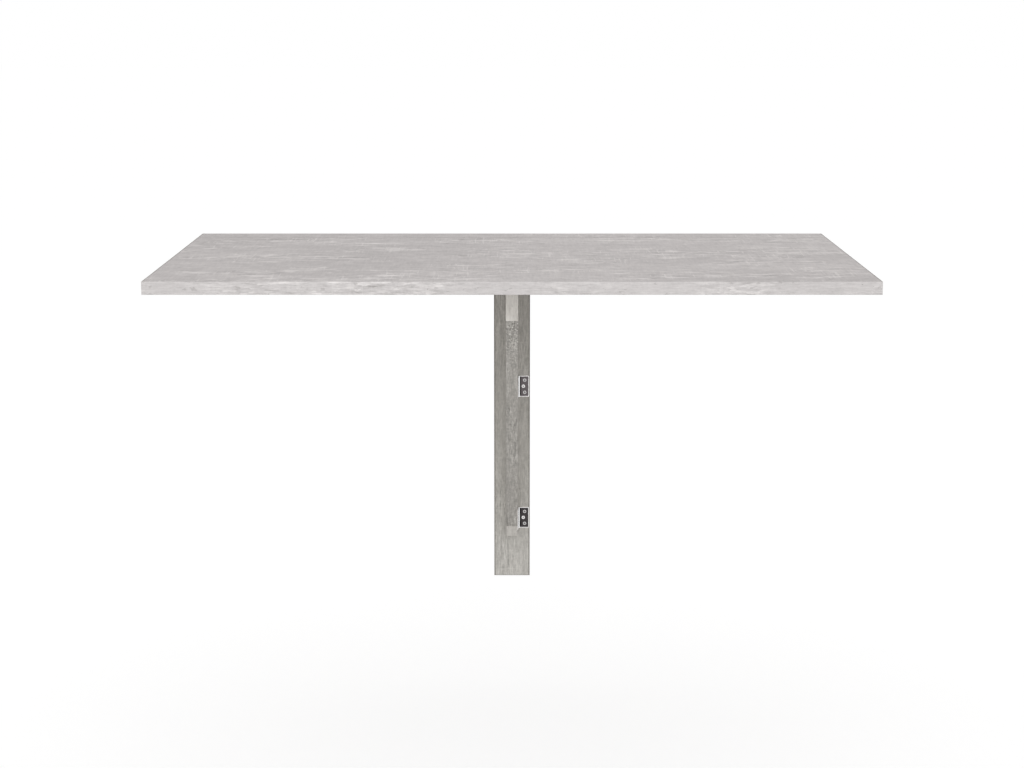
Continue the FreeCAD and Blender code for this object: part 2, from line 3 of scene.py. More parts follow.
import bmesh
import bpy
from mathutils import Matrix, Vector


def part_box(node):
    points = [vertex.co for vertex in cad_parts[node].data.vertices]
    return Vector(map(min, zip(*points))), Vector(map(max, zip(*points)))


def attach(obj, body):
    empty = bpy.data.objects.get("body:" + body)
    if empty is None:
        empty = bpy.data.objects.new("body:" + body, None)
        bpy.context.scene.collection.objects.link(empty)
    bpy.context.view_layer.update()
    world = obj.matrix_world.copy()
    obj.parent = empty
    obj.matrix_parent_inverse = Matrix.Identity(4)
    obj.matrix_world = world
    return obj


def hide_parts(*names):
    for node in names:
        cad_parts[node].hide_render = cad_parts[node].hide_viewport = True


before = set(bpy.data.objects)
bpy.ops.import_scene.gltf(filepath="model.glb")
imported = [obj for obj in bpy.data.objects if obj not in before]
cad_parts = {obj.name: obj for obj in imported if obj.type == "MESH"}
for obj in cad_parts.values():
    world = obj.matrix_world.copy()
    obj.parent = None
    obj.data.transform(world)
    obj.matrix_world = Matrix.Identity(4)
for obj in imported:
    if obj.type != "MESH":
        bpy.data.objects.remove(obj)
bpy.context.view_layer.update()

MM = 0.001
X = Vector((1, 0, 0))
Y = Vector((0, 1, 0))
Z = Vector((0, 0, 1))
QUARTER = math.radians(90)

# Slant of the leg's long edge, as rise over run, and the way that this edge faces
LEG_SLANT = 387.7 / 339
LEG_SLANT_OUT = Vector((0, -1, -1 / LEG_SLANT)).normalized()

# Turns that lay the streaks' long way, which is X, along another direction of the table
ALONG_WALL = (0, 0, 0)
ALONG_DEPTH = (0, 0, -QUARTER)
UPRIGHT = (0, QUARTER, 0)
ALONG_SLANT = (math.atan(LEG_SLANT) - QUARTER, QUARTER, 0)

COLOR = "NodeSocketColor"
FLOAT = "NodeSocketFloat"
VECTOR = "NodeSocketVector"


# Small helpers for node trees


def srgb(red, green, blue):
    """Scene colour from the 0 to 255 values that a screen shows."""
    def linear(level):
        share = level / 255
        return share / 12.92 if share <= 0.04045 else ((share + 0.055) / 1.055) ** 2.4

    return (linear(red), linear(green), linear(blue), 1)


def grey(level):
    return srgb(level, level, level)


def feed(tree, socket, given):
    """Link a socket to another node's output, or set its plain value."""
    if isinstance(given, bpy.types.NodeSocket):
        tree.links.new(given, socket)
    else:
        socket.default_value = given


def add(tree, kind, inputs=(), **settings):
    """New node with its settings, and its inputs given by name or number."""
    node = tree.nodes.new(kind)
    for name, setting in settings.items():
        setattr(node, name, setting)
    for key, given in dict(inputs).items():
        feed(tree, node.inputs[key], given)
    return node


def calc(tree, operation, first, second=0.0, clamp=False):
    node = add(tree, "ShaderNodeMath", {0: first, 1: second}, operation=operation, use_clamp=clamp)
    return node.outputs[0]


def plus(tree, first, second):
    return calc(tree, "ADD", first, second)


def minus(tree, first, second):
    return calc(tree, "SUBTRACT", first, second)


def times(tree, first, second, clamp=False):
    return calc(tree, "MULTIPLY", first, second, clamp)


def vector_calc(tree, operation, first, second=(0, 0, 0)):
    return add(tree, "ShaderNodeVectorMath", {0: first, 1: second}, operation=operation).outputs


def split(tree, vector):
    """The three coordinates of a vector."""
    return add(tree, "ShaderNodeSeparateXYZ", {0: vector}).outputs


def step(tree, given, low, high, to_low=0.0, to_high=1.0):
    """Smooth change from one level to another as a value passes from low to high."""
    node = add(
        tree,
        "ShaderNodeMapRange",
        {"Value": given, "From Min": low, "From Max": high, "To Min": to_low, "To Max": to_high},
        interpolation_type="SMOOTHSTEP",
    )
    return node.outputs["Result"]


def mix(tree, share, first, second, blend="MIX"):
    """Colour between two colours."""
    node = add(tree, "ShaderNodeMix", data_type="RGBA", blend_type=blend)
    feed(tree, node.inputs[0], share)
    feed(tree, node.inputs[6], first)
    feed(tree, node.inputs[7], second)
    return node.outputs[2]


def noise(tree, place, stretch, detail=3.0, roughness=0.55, shift=(0, 0, 0)):
    """Noise with so many blotches per metre along each axis."""
    moved = vector_calc(tree, "ADD", place, shift)[0]
    scaled = vector_calc(tree, "MULTIPLY", moved, stretch)[0]
    node = add(
        tree,
        "ShaderNodeTexNoise",
        {"Vector": scaled, "Scale": 1.0, "Detail": detail, "Roughness": roughness},
        noise_dimensions="3D",
    )
    return node.outputs["Fac"]


def cells(tree, place, stretch):
    """Cells, so many per metre along each axis: a chance level for each, and the distance to its middle."""
    scaled = vector_calc(tree, "MULTIPLY", place, stretch)[0]
    found = add(tree, "ShaderNodeTexVoronoi", {"Vector": scaled, "Scale": 1.0}, feature="F1").outputs
    level = add(tree, "ShaderNodeSeparateColor", {0: found["Color"]}).outputs[0]
    return level, found["Distance"]


def new_group(name, inputs, outputs):
    """Shader node group with named sockets, each a name, a kind and, for inputs, a usual value."""
    tree = bpy.data.node_groups.new(name, "ShaderNodeTree")
    for label, kind, usual in inputs:
        socket = tree.interface.new_socket(name=label, in_out="INPUT", socket_type=kind)
        socket.default_value = usual
    for label, kind in outputs:
        tree.interface.new_socket(name=label, in_out="OUTPUT", socket_type=kind)
    entry = tree.nodes.new("NodeGroupInput")
    leave = tree.nodes.new("NodeGroupOutput")
    return tree, entry.outputs, leave.inputs


def use_group(tree, group, inputs):
    node = tree.nodes.new("ShaderNodeGroup")
    node.node_tree = group
    for key, given in inputs.items():
        feed(tree, node.inputs[key], given)
    return node.outputs


# Concrete-look print: clouds, trowel bands and strokes, streaks, dashes, sand and a few pits

# Layers of noise: blotches per metre along and across the streaks, detail, roughness and shift
LAYERS = {
    "patches": ((6, 12, 12), 2, 0.5, (9.4, 3.3, 6.1)),
    "clouds": ((3, 6, 6), 3, 0.55, (0, 0, 0)),
    "bands": ((9, 26, 26), 4, 0.6, (3.1, 0.7, 1.9)),
    "flecks": ((48, 62, 62), 4, 0.7, (8.3, 6.4, 0.3)),
    "cross": ((270, 24, 24), 3, 0.6, (5.9, 1.8, 3.7)),
    "streaks": ((24, 210, 210), 4, 0.6, (1.3, 5.2, 2.4)),
    "fibres": ((76, 560, 560), 3, 0.6, (7.7, 2.1, 4.6)),
    "grit": ((230, 300, 300), 2, 0.7, (4.7, 9.1, 6.6)),
    "strokes": ((22, 56, 130), 3, 0.55, (3.7, 7.1, 1.4)),
    "long_pale": ((22, 44, 90), 4, 0.6, (5.1, 2.9, 7.3)),
    "short_pale": ((50, 130, 230), 4, 0.6, (2.2, 8.8, 5.0)),
    "short_dark": ((50, 110, 110), 4, 0.6, (6.5, 1.2, 9.9)),
    "crossing": ((300, 14, 14), 4, 0.6, (4.0, 4.0, 1.0)),
    "sand": ((250, 330, 330), 2, 0.6, (0.4, 2.6, 8.1)),
}

# Middle of a noise, and the range that most of it lies in
NOISE_MIDDLE = 0.5
NOISE_SPREAD = (0.3, 0.7)

# Weights of layers in the broad swings of tone, in the lines and in the grains
BROAD_WEIGHTS = {"clouds": 0.4, "bands": 0.35, "flecks": 0.7, "cross": 0.4}
LINE_WEIGHTS = {"streaks": 0.7, "fibres": 1.1}
GRAIN_WEIGHTS = {"grit": 0.9}
SWING_GAIN = 1.5

# Patches in which the print is lively, and its strength outside and inside them
PATCH_RIM = (0.44, 0.56)
LIVELINESS = (0.75, 1.05)

# A trowel stroke is the difference between the print and the print this much lower
STROKE_DROP = Vector((0, 6.0 * MM, 2.6 * MM))
STROKE_GAIN = 8.0

# Dashes: layer, tone, noise levels of rim and middle, strength, input that scales them, only in patches
DASHES = [
    ("long_pale", "Pale", (0.56, 0.66), 0.5, "Blotch", True),
    ("short_pale", "Pale", (0.57, 0.64), 0.5, "Marks", True),
    ("short_dark", "Dark", (0.62, 0.66), 0.45, "Marks", False),
    ("crossing", "Pale", (0.60, 0.64), 0.4, "Blotch", True),
]
SAND_GRAINS = {"Pale": (0.56, 0.62), "Dark": (0.44, 0.38)}

# Pits: cells per metre, chance levels of the cells that have one, rim and floor, raggedness and darkness
PIT_CELLS = (60, 95, 95)
PIT_CHANCE = (0.70, 0.72)
PIT_RIM = (0.07, 0.03)
PIT_RAGGED = 0.3
PIT_SHADE = 0.8

# Roughness of the print, over the range of its lines and grains
FINE_RANGE = (-0.2, 0.2)
PRINT_ROUGHNESS = (0.60, 0.74)


def concrete_print():
    group, given, out = new_group(
        "concrete_print",
        [
            ("Place", VECTOR, (0, 0, 0)),
            ("Ground", COLOR, srgb(189, 185, 184)),
            ("Pale", COLOR, srgb(222, 218, 216)),
            ("Dark", COLOR, srgb(150, 146, 145)),
            ("Blotch", FLOAT, 1.0),
            ("Streak", FLOAT, 1.0),
            ("Marks", FLOAT, 1.0),
            ("Grain", FLOAT, 1.0),
            ("Speckle", FLOAT, 0.0),
        ],
        [("Color", COLOR), ("Roughness", FLOAT), ("Height", FLOAT)],
    )
    place = given["Place"]
    layers = {name: noise(group, place, *layer) for name, layer in LAYERS.items()}
    patches = step(group, layers["patches"], *PATCH_RIM)
    lively = step(group, patches, 0.0, 1.0, *LIVELINESS)

    def weighed(weights, strength):
        """Sum of layers about zero, each with its weight."""
        total = 0.0
        for name, weight in weights.items():
            part = times(group, minus(group, layers[name], NOISE_MIDDLE), weight)
            total = plus(group, part, total)
        return times(group, total, strength)

    broad = weighed(BROAD_WEIGHTS, given["Blotch"])
    lines = weighed(LINE_WEIGHTS, times(group, given["Streak"], lively))
    grains = weighed(GRAIN_WEIGHTS, times(group, given["Grain"], lively))
    fine = plus(group, lines, grains)

    stretch, detail, roughness, shift = LAYERS["strokes"]
    lower = noise(group, place, stretch, detail, roughness, Vector(shift) + STROKE_DROP)
    lean = minus(group, layers["strokes"], lower)
    strokes = times(group, lean, calc(group, "ABSOLUTE", lean))
    strokes = times(group, times(group, strokes, patches), STROKE_GAIN)
    swing = plus(group, plus(group, broad, fine), times(group, strokes, given["Marks"]))
    color = mix(group, times(group, swing, SWING_GAIN, clamp=True), given["Ground"], given["Pale"])
    color = mix(group, times(group, swing, -SWING_GAIN, clamp=True), color, given["Dark"])

    for name, tone, levels, strength, scale, in_patches in DASHES:
        dashes = step(group, layers[name], *levels)
        if in_patches:
            dashes = times(group, dashes, patches)
        dashes = times(group, dashes, given[scale], clamp=True)
        color = mix(group, times(group, dashes, strength), color, given[tone])

    chance, to_middle = cells(group, place, PIT_CELLS)
    uneven = times(group, minus(group, layers["grit"], NOISE_MIDDLE), PIT_RAGGED)
    pits = step(group, plus(group, to_middle, uneven), *PIT_RIM)
    pits = times(group, pits, step(group, chance, *PIT_CHANCE))
    color = mix(group, times(group, pits, PIT_SHADE), color, given["Dark"])

    for tone, levels in SAND_GRAINS.items():
        sand = times(group, step(group, layers["sand"], *levels), given["Speckle"], clamp=True)
        color = mix(group, sand, color, given[tone])

    group.links.new(color, out["Color"])
    group.links.new(step(group, fine, *FINE_RANGE, *PRINT_ROUGHNESS), out["Roughness"])
    group.links.new(minus(group, fine, pits), out["Height"])
    return group


CONCRETE = concrete_print()

# Share of a band's face that turns outward where its printed side ends and its core shows
SIDEWAYS = (0.6, 0.3)


def cut_edge():
    """Plain core of an edge band, seen on its narrow sides."""
    group, given, out = new_group(
        "cut_edge",
        [
            ("Color", COLOR, srgb(207, 203, 202)),
            ("Core", COLOR, srgb(138, 135, 130)),
            ("Facing", VECTOR, (0, 0, 0)),
            ("Outward", VECTOR, (0, 1, 0)),
        ],
        [("Color", COLOR)],
    )
    lean = vector_calc(group, "DOT_PRODUCT", given["Facing"], given["Outward"])["Value"]
    side = step(group, calc(group, "ABSOLUTE", lean), *SIDEWAYS)
    group.links.new(mix(group, side, given["Color"], given["Core"]), out["Color"])
    return group


CUT_EDGE = cut_edge()

# Joint lines: shade, waves per metre with their detail, and fade as shares of the line's width
LINE_SHADE = srgb(205, 203, 200)
LINE_WAVES = ((120, 120, 120), 2)
LINE_FADE = (1.2, 0.6)


def joint_line():
    """Thin dark line along the rim of a board's face, where the edge bands meet it."""
    group, given, out = new_group(
        "joint_line",
        [
            ("Color", COLOR, srgb(189, 185, 184)),
            ("Place", VECTOR, (0, 0, 0)),
            ("Low", VECTOR, (-1, -1, -1)),
            ("High", VECTOR, (1, 1, 1)),
            ("Line", FLOAT, 1.0 * MM),
            ("Shade", COLOR, LINE_SHADE),
        ],
        [("Color", COLOR)],
    )
    inside = vector_calc(group, "SUBTRACT", given["Place"], given["Low"])[0]
    beyond = vector_calc(group, "SUBTRACT", given["High"], given["Place"])[0]
    nearest = split(group, vector_calc(group, "MINIMUM", inside, beyond)[0])
    rim = calc(group, "MINIMUM", calc(group, "MINIMUM", nearest[0], nearest[1]), nearest[2])
    uneven = minus(group, noise(group, given["Place"], *LINE_WAVES), NOISE_MIDDLE)
    share = plus(group, calc(group, "DIVIDE", rim, given["Line"]), uneven)
    dark = mix(group, 1.0, given["Color"], given["Shade"], "MULTIPLY")
    group.links.new(mix(group, step(group, share, *LINE_FADE), given["Color"], dark), out["Color"])
    return group


JOINT_LINE = joint_line()

# Chipboard: flakes per metre, tones of the flakes and of the gaps between them
FLAKE_CELLS = (260, 260, 700)
FLAKE_TONES = (srgb(186, 160, 124), srgb(222, 203, 170))
FLAKE_GAP_TONE = srgb(140, 114, 82)
FLAKE_GAP_RIM = (0.45, 0.75)
FLAKE_GAP_SHADE = 0.6


def raw_chipboard():
    """Sawn edge of a board that carries no band: pressed flakes with dark gaps."""
    group, given, out = new_group(
        "raw_chipboard",
        [
            ("Color", COLOR, srgb(189, 185, 184)),
            ("Place", VECTOR, (0, 0, 0)),
            ("Edge", FLOAT, 0.0),
        ],
        [("Color", COLOR)],
    )
    level, to_middle = cells(group, given["Place"], FLAKE_CELLS)
    flakes = mix(group, level, *FLAKE_TONES)
    gaps = times(group, step(group, to_middle, *FLAKE_GAP_RIM), FLAKE_GAP_SHADE)
    flakes = mix(group, gaps, flakes, FLAKE_GAP_TONE)
    group.links.new(mix(group, given["Edge"], given["Color"], flakes), out["Color"])
    return group


CHIPBOARD = raw_chipboard()

# Hinge steel: painted tones for the plate's dark reflection, the highlight on its rim and the glint on its
# knuckle, wear spots per metre with their detail, and fades
PAINTED_PLATE_REFLECTION = (srgb(62, 59, 60), srgb(92, 87, 89))
# Lighter and darker copies of the plate tones for the upper and lower hinges, painted light and shade for
# their different reflections
PAINTED_LIGHTER_PLATE_REFLECTION = (srgb(76, 72, 73), srgb(108, 102, 104))
PAINTED_DARKER_PLATE_REFLECTION = (srgb(46, 44, 45), srgb(74, 71, 72))
PAINTED_RIM_HIGHLIGHT_TONES = (srgb(228, 226, 226), srgb(248, 246, 246))
PAINTED_KNUCKLE_GLINT_TONES = (grey(250), grey(255))
WEAR_SPOTS = ((900, 900, 900), 3)
WEAR_RAGGED = 0.8
RIM_HIGHLIGHT_FADE = (1.1, 0.7)
KNUCKLE_FADE = (0.1 * MM, -0.1 * MM)
STEEL_ROUGHNESS = (0.26, 0.38)

# Painted shade beside the knuckles, where they meet the plate: its tone, and where it fades away from them
KNUCKLE_SHADE_TONE = grey(128)
KNUCKLE_SHADE_FADE = (1.8 * MM, 1.3 * MM)


def painted_hinge_steel():
    """Sheet painted dark for its dark reflection and mottled by wear, with a painted highlight along its
    rim, a painted glint on its rolled knuckles and painted shade beside them.
    """
    group, given, out = new_group(
        "painted_hinge_steel",
        [
            ("Place", VECTOR, (0, 0, 0)),
            ("Dull", COLOR, PAINTED_PLATE_REFLECTION[0]),
            ("Bright", COLOR, PAINTED_PLATE_REFLECTION[1]),
            ("Pin", VECTOR, (0, 0, 0)),
            ("Along", VECTOR, (0, 0, 1)),
            ("Half Length", FLOAT, 17 * MM),
            ("Width", FLOAT, 16.5 * MM),
            ("Knuckle", FLOAT, 2.0 * MM),
            ("Rim", FLOAT, 0.9 * MM),
        ],
        [("Color", COLOR), ("Roughness", FLOAT), ("Height", FLOAT)],
    )
    reach = vector_calc(group, "SUBTRACT", given["Place"], given["Pin"])[0]
    run = vector_calc(group, "DOT_PRODUCT", reach, given["Along"])["Value"]
    beside = vector_calc(group, "CROSS_PRODUCT", reach, given["Along"])[0]
    away = vector_calc(group, "LENGTH", beside)["Value"]
    to_end = minus(group, given["Half Length"], calc(group, "ABSOLUTE", run))
    to_side = minus(group, given["Width"], away)
    to_rim = calc(group, "DIVIDE", calc(group, "MINIMUM", to_end, to_side), given["Rim"])
    wear = noise(group, given["Place"], *WEAR_SPOTS)
    uneven = times(group, minus(group, wear, NOISE_MIDDLE), WEAR_RAGGED)
    # Painted highlight along the plate's rim, made ragged by the wear noise
    rim = step(group, plus(group, to_rim, uneven), *RIM_HIGHLIGHT_FADE)
    past_knuckle = minus(group, away, given["Knuckle"])
    # Painted glint on the knuckle
    knuckle = step(group, past_knuckle, *KNUCKLE_FADE)
    # Painted shade in the crease beside the knuckle
    knuckle_shade = step(group, past_knuckle, *KNUCKLE_SHADE_FADE)
    # Plate tone painted dark for its dark reflection, mottled by wear
    plate_tone = mix(group, wear, given["Dull"], given["Bright"])
    plate_tone = mix(group, knuckle_shade, plate_tone, KNUCKLE_SHADE_TONE, "MULTIPLY")
    color = mix(group, rim, plate_tone, mix(group, wear, *PAINTED_RIM_HIGHLIGHT_TONES))
    color = mix(group, knuckle, color, mix(group, wear, *PAINTED_KNUCKLE_GLINT_TONES))
    group.links.new(color, out["Color"])
    group.links.new(step(group, wear, *NOISE_SPREAD, *STEEL_ROUGHNESS), out["Roughness"])
    group.links.new(wear, out["Height"])
    return group


PAINTED_HINGE_STEEL = painted_hinge_steel()


# Materials

BUMP_STRENGTH = 0.4
PRINT_BUMP = 0.06 * MM
STEEL_BUMP = 0.01 * MM
BEECH_BUMP = 0.05 * MM
MATT_GLOSS = 0.2

# Depth at which a board's back edge turns from print to raw chipboard
RAW_EDGE = (-0.3 * MM, -0.1 * MM)


def new_material(name):
    """Material with an empty tree but for its shader, and the coordinates of the piece."""
    material = bpy.data.materials.new(name)
    material.use_nodes = True
    tree = material.node_tree
    coordinates = tree.nodes.new("ShaderNodeTexCoord").outputs
    return material, tree, tree.nodes["Principled BSDF"], coordinates


def raise_surface(tree, shader, height, distance):
    inputs = {"Height": height, "Distance": distance, "Strength": BUMP_STRENGTH}
    tree.links.new(add(tree, "ShaderNodeBump", inputs).outputs[0], shader.inputs["Normal"])


def laminate(
    name, look, turn, shift, speckled=None, outward=None, rim=None, shade=LINE_SHADE, raw_back=False
):
    """Matt printed board or edge band; a band also names the way that it faces."""
    material, tree, shader, coordinates = new_material(name)
    place = coordinates["Object"]
    turned = add(tree, "ShaderNodeMapping", {"Vector": place, "Location": shift, "Rotation": turn})
    inputs = {"Place": turned.outputs[0], **look}
    if speckled is not None:
        inputs["Speckle"] = step(tree, split(tree, place)["Z"], *speckled)
    printed = use_group(tree, CONCRETE, inputs)
    color = printed["Color"]
    if outward is not None:
        inputs = {"Color": color, "Facing": coordinates["Normal"], "Outward": outward}
        color = use_group(tree, CUT_EDGE, inputs)["Color"]
    if rim is not None:
        low, high = rim
        inputs = {"Color": color, "Place": place, "Low": low, "High": high, "Shade": shade}
        color = use_group(tree, JOINT_LINE, inputs)["Color"]
    if raw_back:
        edge = step(tree, split(tree, place)["Y"], *RAW_EDGE)
        color = use_group(tree, CHIPBOARD, {"Color": color, "Place": place, "Edge": edge})["Color"]
    tree.links.new(color, shader.inputs["Base Color"])
    tree.links.new(printed["Roughness"], shader.inputs["Roughness"])
    shader.inputs["Specular IOR Level"].default_value = MATT_GLOSS
    raise_surface(tree, shader, printed["Height"], PRINT_BUMP)
    return material


def hinge_steel(name, plate_tone, pin, along):
    material, tree, shader, coordinates = new_material(name)
    dull, bright = plate_tone
    inputs = {"Place": coordinates["Object"], "Dull": dull, "Bright": bright, "Pin": pin, "Along": along}
    painted_steel = use_group(tree, PAINTED_HINGE_STEEL, inputs)
    tree.links.new(painted_steel["Color"], shader.inputs["Base Color"])
    tree.links.new(painted_steel["Roughness"], shader.inputs["Roughness"])
    shader.inputs["Metallic"].default_value = 1.0
    raise_surface(tree, shader, painted_steel["Height"], STEEL_BUMP)
    return material


# Screws: brushing per metre with its detail, roughness, tones of plain heads and of heads with a painted
# sheen, and of the painted shade in the cross
ZINC_BRUSHING = ((700, 2400, 700), 3)
ZINC_ROUGHNESS = (0.22, 0.36)
PLAIN_HEAD_TONES = (srgb(150, 148, 148), srgb(214, 212, 212))
SHEEN_HEAD_TONES = (srgb(206, 204, 204), srgb(240, 238, 238))
# Painted shade down in the cross recess: its tones, and the depths over which it darkens
RECESS_SHADE_TONES = (srgb(28, 28, 30), srgb(150, 148, 148))
RECESS_SHADE_DEPTH = (0.05 * MM, 0.4 * MM)


def screw_steel():
    """Zinc with fine brushing, with a painted sheen on some heads and painted shade down in the cross."""
    material, tree, shader, coordinates = new_material("bright_zinc")
    brushing = noise(tree, coordinates["Object"], *ZINC_BRUSHING)
    painted_sheen = add(tree, "ShaderNodeAttribute", attribute_name="painted_sheen").outputs["Fac"]
    depth = add(tree, "ShaderNodeAttribute", attribute_name="depth").outputs["Fac"]
    # Heads with a painted sheen are painted brighter than the plain zinc
    color = mix(tree, painted_sheen, mix(tree, brushing, *PLAIN_HEAD_TONES), mix(tree, brushing, *SHEEN_HEAD_TONES))
    # Painted shade down in the cross recess
    color = mix(tree, step(tree, depth, *RECESS_SHADE_DEPTH), color, mix(tree, painted_sheen, *RECESS_SHADE_TONES))
    tree.links.new(color, shader.inputs["Base Color"])
    tree.links.new(step(tree, brushing, *NOISE_SPREAD, *ZINC_ROUGHNESS), shader.inputs["Roughness"])
    shader.inputs["Metallic"].default_value = 1.0
    raise_surface(tree, shader, brushing, STEEL_BUMP)
    return material


# Dowels: rings and flecks per metre with their detail, tones and roughness
BEECH_RINGS = ((420, 420, 40), 4)
BEECH_FLECKS = ((900, 900, 160), 2)
BEECH_FLECK_RIM = (0.62, 0.70)
BEECH_FLECK_SHADE = 0.5
BEECH_TONES = (srgb(186, 146, 100), srgb(226, 194, 150))
BEECH_FLECK_TONE = srgb(150, 108, 70)
BEECH_ROUGHNESS = (0.5, 0.65)


def dowel_beech():
    material, tree, shader, coordinates = new_material("dowel_beech")
    place = coordinates["Object"]
    rings = noise(tree, place, *BEECH_RINGS)
    flecks = step(tree, noise(tree, place, *BEECH_FLECKS), *BEECH_FLECK_RIM)
    color = mix(tree, rings, *BEECH_TONES)
    color = mix(tree, times(tree, flecks, BEECH_FLECK_SHADE), color, BEECH_FLECK_TONE)
    tree.links.new(color, shader.inputs["Base Color"])
    tree.links.new(step(tree, rings, *NOISE_SPREAD, *BEECH_ROUGHNESS), shader.inputs["Roughness"])
    raise_surface(tree, shader, rings, BEECH_BUMP)
    return material


# Boards, edge bands and dowels


def tones(ground, pale, dark):
    return {"Ground": srgb(*ground), "Pale": srgb(*pale), "Dark": srgb(*dark)}


def mark_strengths(blotch, streak, marks, grain):
    """Strength of the clouds, the streaks, the short marks and the grit of a print."""
    return {"Blotch": blotch, "Streak": streak, "Marks": marks, "Grain": grain}


TOP_TONES = tones((191, 186, 185), (228, 223, 221), (150, 146, 145))
# Edge bands are painted lighter than the top, as painted light for the brighter light on their upright
# faces
EDGE_PAINTED_LIGHT_TONES = tones((210, 206, 205), (246, 242, 240), (166, 162, 160))
UPRIGHT_TONES = tones((197, 194, 188), (229, 226, 220), (158, 155, 149))
# The leg's front band is painted much lighter than its other bands, as painted light, and its slanting band
# darker, as painted shade on a face turned downward
LEG_FRONT_PAINTED_LIGHT_TONES = tones((232, 228, 221), (250, 247, 241), (196, 192, 185))
NOSE_TONES = tones((199, 195, 189), (226, 223, 217), (160, 156, 150))
SLOPE_PAINTED_SHADE_TONES = tones((182, 178, 172), (228, 225, 219), (134, 131, 126))

TOP_MARKS = mark_strengths(1.0, 0.3, 0.9, 0.25)
RAIL_MARKS = mark_strengths(0.7, 1.0, 0.7, 0.6)
POST_MARKS = mark_strengths(0.5, 1.6, 0.6, 0.9)
LEG_MARKS = mark_strengths(0.5, 1.5, 0.6, 0.8)
BAND_MARKS = mark_strengths(0.3, 0.9, 1.0, 0.5)
SLOPE_MARKS = mark_strengths(0.3, 1.7, 0.25, 1.2)

POST_LINE_SHADE = srgb(185, 183, 180)

# Heights at which the speckles on the leg's slanting edge begin and are full
SLOPE_SPECKLES = (-150 * MM, -30 * MM)

# Reach that leaves a board's box open across its thickness
FAR = 10.0


def dress(node, material):
    """Give a carried-over piece its finish."""
    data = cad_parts[node].data
    data.materials.clear()
    data.materials.append(material)


def dress_board(node, finish, look, turn, shift, across=None, **extra):
    """Printed board with joint lines at its rim, where the way across its thickness is named."""
    rim = None
    if across is not None:
        low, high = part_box(node)
        rim = (low - across * FAR, high + across * FAR)
    dress(node, laminate(finish, look, turn, shift, rim=rim, **extra))


# Boards: finish, look, turn and shift of the print, and the way across the board's thickness
TOP_LOOK = {**TOP_TONES, **TOP_MARKS}
RAIL_LOOK = {**UPRIGHT_TONES, **RAIL_MARKS}
POST_LOOK = {**UPRIGHT_TONES, **POST_MARKS}
LEG_LOOK = {**UPRIGHT_TONES, **LEG_MARKS}

dress_board("leaf_panel", "leaf_top_print", TOP_LOOK, ALONG_WALL, (0, 0, 0), Z)
dress_board("strip_panel", "strip_top_print", TOP_LOOK, ALONG_WALL, (0, 0, 0), Z, raw_back=True)
dress_board("rail_panel", "rail_print", RAIL_LOOK, ALONG_WALL, (0.4, 0.2, 0.7), Y)
dress_board("post_panel", "post_print", POST_LOOK, UPRIGHT, (0.9, 0.3, 0.2), Y + Z, shade=POST_LINE_SHADE)
dress_board("backing_panel", "backing_print", POST_LOOK, UPRIGHT, (0.1, 0.6, 0.8), Y + Z)
dress_board("leg_panel", "leg_print", LEG_LOOK, UPRIGHT, (0.5, 0.8, 0.1))

# Edge bands: tones, turn of the print and the way that the band faces
BANDS = [
    ("strip_front_band", EDGE_PAINTED_LIGHT_TONES, ALONG_WALL, Y),
    ("strip_left_band", EDGE_PAINTED_LIGHT_TONES, ALONG_DEPTH, X),
    ("strip_right_band", EDGE_PAINTED_LIGHT_TONES, ALONG_DEPTH, X),
    ("rail_bottom_band", EDGE_PAINTED_LIGHT_TONES, ALONG_WALL, Z),
    ("rail_left_band", EDGE_PAINTED_LIGHT_TONES, UPRIGHT, X),
    ("rail_right_band", EDGE_PAINTED_LIGHT_TONES, UPRIGHT, X),
    ("backing_left_band", UPRIGHT_TONES, UPRIGHT, X),
    ("backing_right_band", UPRIGHT_TONES, UPRIGHT, X),
    ("backing_bottom_band", UPRIGHT_TONES, ALONG_WALL, Z),
    ("post_left_band", UPRIGHT_TONES, UPRIGHT, X),
    ("post_right_band", UPRIGHT_TONES, UPRIGHT, X),
    ("post_bottom_band", UPRIGHT_TONES, ALONG_WALL, Z),
    ("leg_top_band", UPRIGHT_TONES, ALONG_DEPTH, Z),
    ("leg_front_band", LEG_FRONT_PAINTED_LIGHT_TONES, UPRIGHT, Y),
    ("leg_slope_band", SLOPE_PAINTED_SHADE_TONES, ALONG_SLANT, LEG_SLANT_OUT),
    ("leg_nose_band", NOSE_TONES, UPRIGHT, Y),
    ("leg_bottom_band", UPRIGHT_TONES, ALONG_DEPTH, Z),
    ("leg_rear_band", UPRIGHT_TONES, UPRIGHT, Y),
    ("leaf_front_band", EDGE_PAINTED_LIGHT_TONES, ALONG_WALL, Y),
    ("leaf_rear_band", EDGE_PAINTED_LIGHT_TONES, ALONG_WALL, Y),
    ("leaf_left_band", EDGE_PAINTED_LIGHT_TONES, ALONG_DEPTH, X),
    ("leaf_right_band", EDGE_PAINTED_LIGHT_TONES, ALONG_DEPTH, X),
]
BAND_SHIFT = Vector((0, 0.11, 0.05))
BAND_SHIFT_STEP = 0.37
for number, (node, band_tones, turn, outward) in enumerate(BANDS):
    slanting = node == "leg_slope_band"
    look = {**band_tones, **(SLOPE_MARKS if slanting else BAND_MARKS)}
    shift = BAND_SHIFT + X * BAND_SHIFT_STEP * number
    speckled = SLOPE_SPECKLES if slanting else None
    dress(node, laminate(node + "_print", look, turn, shift, speckled, outward))
dress("strip_dowels", dowel_beech())


